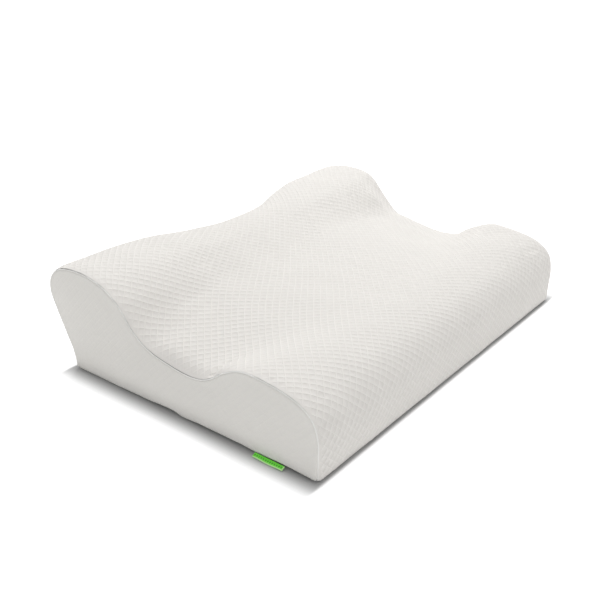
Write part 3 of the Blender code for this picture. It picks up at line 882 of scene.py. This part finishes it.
def end_panel_mesh(loop):
    """Flat points and triangles: rings along the edge, and inside them rows that follow the diamonds."""
    rings = [inset_loop(loop, d) for d in SIDE_RINGS]
    reach = int(0.5 / SIDE_STEP)
    i, j = np.meshgrid(np.arange(-reach, reach), np.arange(-reach, reach), indexing="ij")
    seeds = np.stack([(i - j).ravel(), (i + j).ravel()], axis=1) * SIDE_STEP / math.sqrt(2)
    seeds = seeds[np.all((seeds > loop.min(axis=0)) & (seeds < loop.max(axis=0)), axis=1)]
    seeds = seeds[inside_loop(seeds, loop)]
    seeds = seeds[distance_to_loop(seeds, loop) > SIDE_RINGS[-1] + 0.0012]
    count = len(loop)
    edges = [(k, (k + 1) % count) for k in range(count)]
    verts, _, tris, *_ = delaunay_2d_cdt(np.vstack([*rings, seeds]).tolist(), edges, [], 1, 1e-7)
    return np.array([tuple(v) for v in verts]), [list(t) for t in tris]


def make_end_panel(name, sign, node):
    loop = end_outline(sign, SIDE_INSET, 0.0016)
    flat, tris = end_panel_mesh(loop)
    away = distance_to_loop(flat, loop)
    lip = np.interp(away, SIDE_LIP[0], SIDE_LIP[1])
    puff = SIDE_PUFF * (1 - np.exp(-away / 0.020))
    low = np.clip(FOOT_CURL + 0.0016 - flat[:, 1], 0, FOOT_CURL)
    curl = FOOT_CURL - np.sqrt(np.maximum(FOOT_CURL**2 - low**2, 0))
    a, b = (flat[:, 0] + flat[:, 1]) / SIDE_DIAMOND, (flat[:, 1] - flat[:, 0]) / SIDE_DIAMOND
    off = np.minimum(np.abs(a - np.round(a)), np.abs(b - np.round(b)))
    height = np.interp(off, (0, 0.2, 0.4, 0.5), (1.0, 0.25, 0.0, 0.1))
    fade = ease((away - 0.004) / 0.004)
    waves = 0.0005 * ripple(flat[:, 0], flat[:, 1], 0.09, 11)
    waves += 0.00025 * np.exp(-away / 0.012) * ripple(flat[:, 0], flat[:, 1], 0.02, 12)
    out = lip + puff + waves * ease(away / 0.004) + SIDE_RELIEF * (height - 0.4) * fade - curl
    points = np.stack([sign * (END_X + out), flat[:, 0], flat[:, 1]], axis=1)
    points += lie_of(points) * ease(away / 0.006)[:, None]
    faces = [t[::-1] for t in tris] if sign < 0 else tris
    piece = mesh_piece(name, settle(points), faces, shaded_end_knit, [node], flat)
    across = loop[:, 0] * np.roll(loop[:, 1], -1) - np.roll(loop[:, 0], -1) * loop[:, 1]
    area = abs(float(across.sum())) / 2


def make_end_panels():
    make_end_panel("knit_cover_end_left", -1, "cover_end_panel_left")
    make_end_panel("knit_cover_end_right", 1, "cover_end_panel_right")


# ---------------- base panel and seams


def rounded_rectangle(low, high, radius, steps=6, gap=0.006):
    """Evenly spaced points around a rectangle with round corners, starting at its +X +Y corner."""
    points = []
    corners = ((high[0], high[1]), (low[0], high[1]), (low[0], low[1]), (high[0], low[1]))
    for (x, y), start in zip(corners, (0, 90, 180, 270)):
        cx, cy = x - math.copysign(radius, x), y - math.copysign(radius, y - (low[1] + high[1]) / 2)
        for k in range(steps + 1):
            turn = math.radians(start + 90 * k / steps)
            points.append((cx + radius * math.cos(turn), cy + radius * math.sin(turn)))
    points.append(points[0])
    curve = np.array(points)
    count = int(lengths_along(curve)[-1] / gap)
    return evenly(curve, count)[:-1]


def make_base_panel():
    """A flat cloth, its last few millimetres rising to the base seam."""
    steps = (100, 72)
    low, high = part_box("cover_base_panel")
    x, y = np.linspace(low.x, high.x, steps[0]), np.linspace(low.y, high.y, steps[1])
    gx, gy = np.meshgrid(x, y, indexing="ij")
    edge = np.minimum(np.minimum(gx - low.x, high.x - gx), np.minimum(gy - low.y, high.y - gy))
    z = 0.0003 + 0.0010 * (1 - ease(edge / 0.010)) + 0.0001 * ripple(gx, gy, 0.05, 21)
    points = np.stack([gx, gy, z], axis=-1).reshape(-1, 3)
    faces = grid_faces(*steps)
    nodes, uv = ["cover_base_panel"], points[:, :2]
    piece = mesh_piece("knit_cover_base", settle(points), faces, base_knit, nodes, uv)


SEAM_INSET, SEAM_RADIUS = 0.00055, 0.00070


def make_seams():
    """The sewn edges: a sunk cord in each end seam and one round the base."""
    for side, sign in (("left", -1), ("right", 1)):
        curve = outline(sign * END_X, SEAM_INSET, 0.004, 0.004, domed=False)
        path = evenly(curve, 520)
        x = np.full(len(path), sign * (END_X - SEAM_INSET))
        path = np.column_stack([x, path])
        swell = SEAM_RADIUS * (1 + 0.08 * np.sin(np.arange(len(path)) * math.tau / 4))
        points, faces = tube(settle(path), swell, 8)
        mesh_piece(f"sewn_end_seam_{side}", points, faces, thread, [f"end_seam_{side}"])
    loop = rounded_rectangle(
        (-END_X + 0.0030, FRONT_Y + 0.0030), (END_X - 0.0030, BACK_Y - 0.0022), 0.0055, gap=0.0016
    )
    path = np.column_stack([loop, np.full(len(loop), 0.0016)])
    swell = 0.0011 + 0.00015 * np.sin(np.arange(len(path)) * math.tau / 3)
    points, faces = tube(settle(path), swell, 8, closed=True)
    mesh_piece("sewn_base_seam", points, faces, thread, ["base_seam"])


# ---------------- inside: liner and foam

FRONT_ROUND, BACK_ROUND = 0.015, 0.025


def inner_section(x, inset):
    curve = outline(x, inset, FRONT_ROUND, BACK_ROUND)
    turns = np.linspace(0, math.pi / 2, 9)[1:]
    corners = []
    for edge, radius, sign in ((FRONT_Y, FRONT_ROUND, 1), (BACK_Y, BACK_ROUND, -1)):
        y = edge + sign * radius - sign * (radius - inset) * np.cos(turns)
        corners.append(np.stack([y, radius - (radius - inset) * np.sin(turns)], axis=1))
    return np.vstack([corners[0][::-1], curve, corners[1]])


def make_inner(name, nodes, inset, material, rows, columns, wave):
    """A closed soft form inside the cover, with slightly rounded ends."""
    reach = END_X - inset
    even = np.linspace(-1, 1, columns)
    crowded = reach * np.sin(even * math.pi / 2 * 0.999)  # toward the ends
    places = crowded * 0.35 + even * reach * 0.65
    grid = with_x(places, np.array([evenly(inner_section(x, inset), rows) for x in places]))
    uv = np.stack(np.broadcast_arrays(places[:, None], np.arange(rows + 1) * 0.0035), axis=-1)
    uneven = wave * (1 + ripple(grid[..., 0], grid[..., 1], 0.03, 31))
    points = grid - grid_normals(grid) * uneven[..., None] / 2
    count = rows + 1
    faces = grid_faces(columns, count, flip=True, wrap=True) + end_caps(columns, count)
    piece = mesh_piece(name, points, faces, material, nodes, uv)


def make_inside():
    make_inner("knit_liner", ["liner_upper", "liner_base"], 0.0034, jersey, 150, 110, 0.0003)
    make_inner("foam_block", ["foam_core"], 0.0046, foam, 120, 90, 0.0002)


# ---------------- zipper

COIL_PITCH = 0.0016
COIL_WIRE = 0.00034
STITCH = (0.0026, 0.0010)  # length of a stitch, gap to the next


def make_coil(node, name):
    """One nylon wire wound into flat loops."""
    low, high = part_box(node)
    loops = int((high.x - low.x) / COIL_PITCH)
    steps = 10
    turn = np.arange(loops * steps + 1) / steps * math.tau
    middle_y, middle_z = (low.y + high.y) / 2, (low.z + high.z) / 2
    deep = (high.y - low.y) / 2 - COIL_WIRE
    wide = (high.z - low.z) / 2 - COIL_WIRE
    x = low.x + COIL_WIRE + turn / math.tau * (high.x - low.x - 2 * COIL_WIRE) / loops
    path = np.stack([x, middle_y + deep * np.cos(turn), middle_z + wide * np.sin(turn)], axis=1)
    points, faces = tube(path, COIL_WIRE, 5)
    mesh_piece(name, points, faces, nylon, [node])


def make_tape(node, name):
    """A woven strip with a turned thickness."""
    low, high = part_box(node)
    across, up = 240, 10
    x, z = np.linspace(low.x, high.x, across), np.linspace(low.z, high.z, up)
    gx, gz = np.meshgrid(x, z, indexing="ij")
    y = (low.y + high.y) / 2 + 0.00012 * ripple(gx, gz, 0.03, 41)
    points = np.stack([gx, y, gz], axis=-1).reshape(-1, 3)
    faces = grid_faces(across, up)
    piece = mesh_piece(name, points, faces, tape_cloth, [node], points[:, [0, 2]])
    thicken(piece, high.y - low.y, 0.0)


def make_stitching(name, z, y, inset):
    """A row of lockstitches along the hem."""
    parts = []
    length, gap = STITCH
    x = -END_X + inset
    turns = np.linspace(0, math.pi, 5)
    while x + length < END_X - inset:
        path = [x + length * (1 - np.cos(turns)) / 2, y + 0.00022 * np.sin(turns), np.full(5, z)]
        parts.append(tube(np.stack(path, axis=1), 0.00018 + 0.00006 * np.sin(turns), 5))
        x += length + gap
    points, faces = gather(parts)
    mesh_piece(name, points, faces, thread, [])


def repaint(node, material):
    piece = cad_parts[node]
    piece.data.materials.clear()
    piece.data.materials.append(material)


def make_zipper():
    for half in ("upper", "lower"):
        make_coil(f"zipper_coil_{half}", f"coil_wire_{half}")
        make_tape(f"zipper_tape_{half}", f"woven_tape_{half}")
    make_stitching("hem_stitching", HEM_Z + 0.0030, BACK_Y + 0.0001, 0.006)
    for metal in ("stop_upper", "stop_lower", "end_stop", "slider", "pull_tab"):
        repaint(f"zipper_{metal}", enamel)


# ---------------- labels

LABEL_ROWS, LABEL_STEPS = 33, 12
LABEL_THICK, CARE_LABEL_THICK = 0.0006, 0.0004


def make_side_label():
    """A folded ribbon: two layers from the seam to a soft fold, its long edge bowed a little."""
    low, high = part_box("side_label")
    y = np.linspace(low.y, high.y, LABEL_ROWS)
    share = np.linspace(0, 1, LABEL_STEPS)
    middle = 1 - np.abs(2 * (y - low.y) / (high.y - low.y) - 1) ** 2.2
    reach = (high.x - low.x) * (0.90 + 0.10 * middle)
    top_z, foot_z = high.z - 0.0003, low.z + LABEL_THICK
    fall = (top_z - foot_z) * (0.75 * share + 0.25 * share**2)
    wave = 0.00025 * np.sin(y * 210.0)[:, None] * share
    x = high.x + 0.0006 - reach[:, None] * share
    grid = np.stack(np.broadcast_arrays(x, y[:, None], top_z - fall + wave), axis=-1)
    flat = np.stack(np.broadcast_arrays((y - low.y)[:, None], share * (high.x - low.x)), axis=-1)
    faces = grid_faces(LABEL_ROWS, LABEL_STEPS, flip=True)
    nodes = ["side_label"]
    piece = mesh_piece("woven_edge_label", grid, faces, green, nodes, flat, body="edge_label")
    thicken(piece, LABEL_THICK, 0.0)
    rim = piece.modifiers.new("Soft fold", "BEVEL")
    rim.width, rim.segments = 0.0002, 2


def make_care_label():
    """A blank satin patch on the back wall."""
    low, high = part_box("care_label")
    across, up = 24, 16
    x, z = np.linspace(low.x, high.x, across), np.linspace(low.z, high.z, up)
    grid = np.zeros((across, up, 3))
    for i, place in enumerate(x):
        wall = outline(place, -0.0008, FOOT_CURL, HEM_Z)
        wall = wall[len(wall) * 3 // 4 :][::-1]
        wall = wall[: int(np.argmax(wall[:, 1] > 0.095))]
        grid[i] = np.column_stack([np.full(up, place), np.interp(z, wall[:, 1], wall[:, 0]), z])
    grid[..., 1] += 0.00025 * ripple(grid[..., 0], grid[..., 2], 0.012, 51)
    faces = grid_faces(across, up)
    uv = grid[..., [0, 2]]
    piece = mesh_piece("satin_care_label", grid, faces, satin, ["care_label"], uv)
    thicken(piece, CARE_LABEL_THICK, 1.0)


# ---------------- camera, floor and light

CAMERA_PLACE = (-0.88714, -0.66276, 0.56685)
CAMERA_TILT, CAMERA_TURN = math.radians(64.751), math.radians(-51.632)
CAMERA_LENS = 50.4


def make_camera():
    data = bpy.data.cameras.new("camera")
    data.lens, data.sensor_width = CAMERA_LENS, 36.0
    camera = add_object("camera", data)
    camera.location = CAMERA_PLACE
    camera.rotation_euler = (CAMERA_TILT, 0.0, CAMERA_TURN)
    SCENE.camera = camera


FLOOR_HALF, FLOOR_Z = 15.0, -0.0003
FLOOR_GREYS = ((0.51, 0.51, 0.51), (0.53, 0.53, 0.53))
FLOOR_GLOW = 0.74  # the floor glows as painted light, held off under and just around the pillow, where that leaves a painted shadow
PAINTED_SHADOW_REACH = (0.035, 0.007)  # how far the painted shadow of that mask reaches beside the ends and the long walls
FLOOR_FAR, FLOOR_FAR_GLOW = 2.0, 0.26  # a little more light from the floor by this far out


def make_floor():
    mesh = bpy.data.meshes.new("floor")
    corners = [(x * FLOOR_HALF, y * FLOOR_HALF, FLOOR_Z) for x, y in ((-1, -1), (1, -1), (1, 1), (-1, 1))]
    mesh.from_pydata(corners, [], [(0, 1, 2, 3)])
    floor = add_object("floor", mesh)
    m = Material("white floor", 0.9)
    # painted light and shadow: the floor's glow is held off near the pillow, leaving a painted contact shadow
    glow = m.product(m.ring_outside(*PAINTED_SHADOW_REACH), FLOOR_GLOW)
    glow = m.affine(m.ring_outside(FLOOR_FAR, FLOOR_FAR), FLOOR_FAR_GLOW, glow)
    m.shader.inputs["Emission Color"].default_value = (1.0, 1.0, 1.0, 1.0)
    m.link(glow, m.shader.inputs["Emission Strength"])
    mesh.materials.append(m.finish(m.mix(m.noise(3.0), *FLOOR_GREYS)))


SKY_LIGHT, SKY_SEEN = 0.545, 1.0
LAMP_AIM = (0.0, 0.0, 0.05)
LAMPS = (  # name, place, size, power
    ("key", (2.2, -0.1, 2.2), 1.2, 22.5),
    ("back", (1.6, 1.6, 1.8), 1.2, 20.0),
    ("overhead", (0.1, 0.2, 2.4), 1.4, 21.7),
)


def make_light():
    world = bpy.data.worlds.new("studio")
    SCENE.world = world
    world.use_nodes = True
    nodes, links = world.node_tree.nodes, world.node_tree.links
    background = nodes["Background"]
    background.inputs["Color"].default_value = (1.0, 1.0, 1.0, 1.0)
    strength = nodes.new("ShaderNodeMapRange")
    links.new(nodes.new("ShaderNodeLightPath").outputs["Is Camera Ray"], strength.inputs["Value"])
    strength.inputs["To Min"].default_value, strength.inputs["To Max"].default_value = SKY_LIGHT, SKY_SEEN
    links.new(strength.outputs[0], background.inputs["Strength"])
    for name, place, size, power in LAMPS:
        data = bpy.data.lights.new(name, "AREA")
        data.shape, data.size, data.energy = "DISK", size, power
        lamp = add_object(name, data)
        lamp.location = place
        x, y, z = np.array(LAMP_AIM) - np.array(place)
        lamp.rotation_euler = (math.atan2(math.hypot(x, y), -z), 0.0, math.atan2(y, x) - math.pi / 2)
    SCENE.view_settings.view_transform = "Standard"


make_camera()
make_floor()
make_light()
lie_of = Lie()
make_inside()
make_top_panel()
make_end_panels()
make_base_panel()
make_seams()
make_zipper()
make_side_label()
make_care_label()
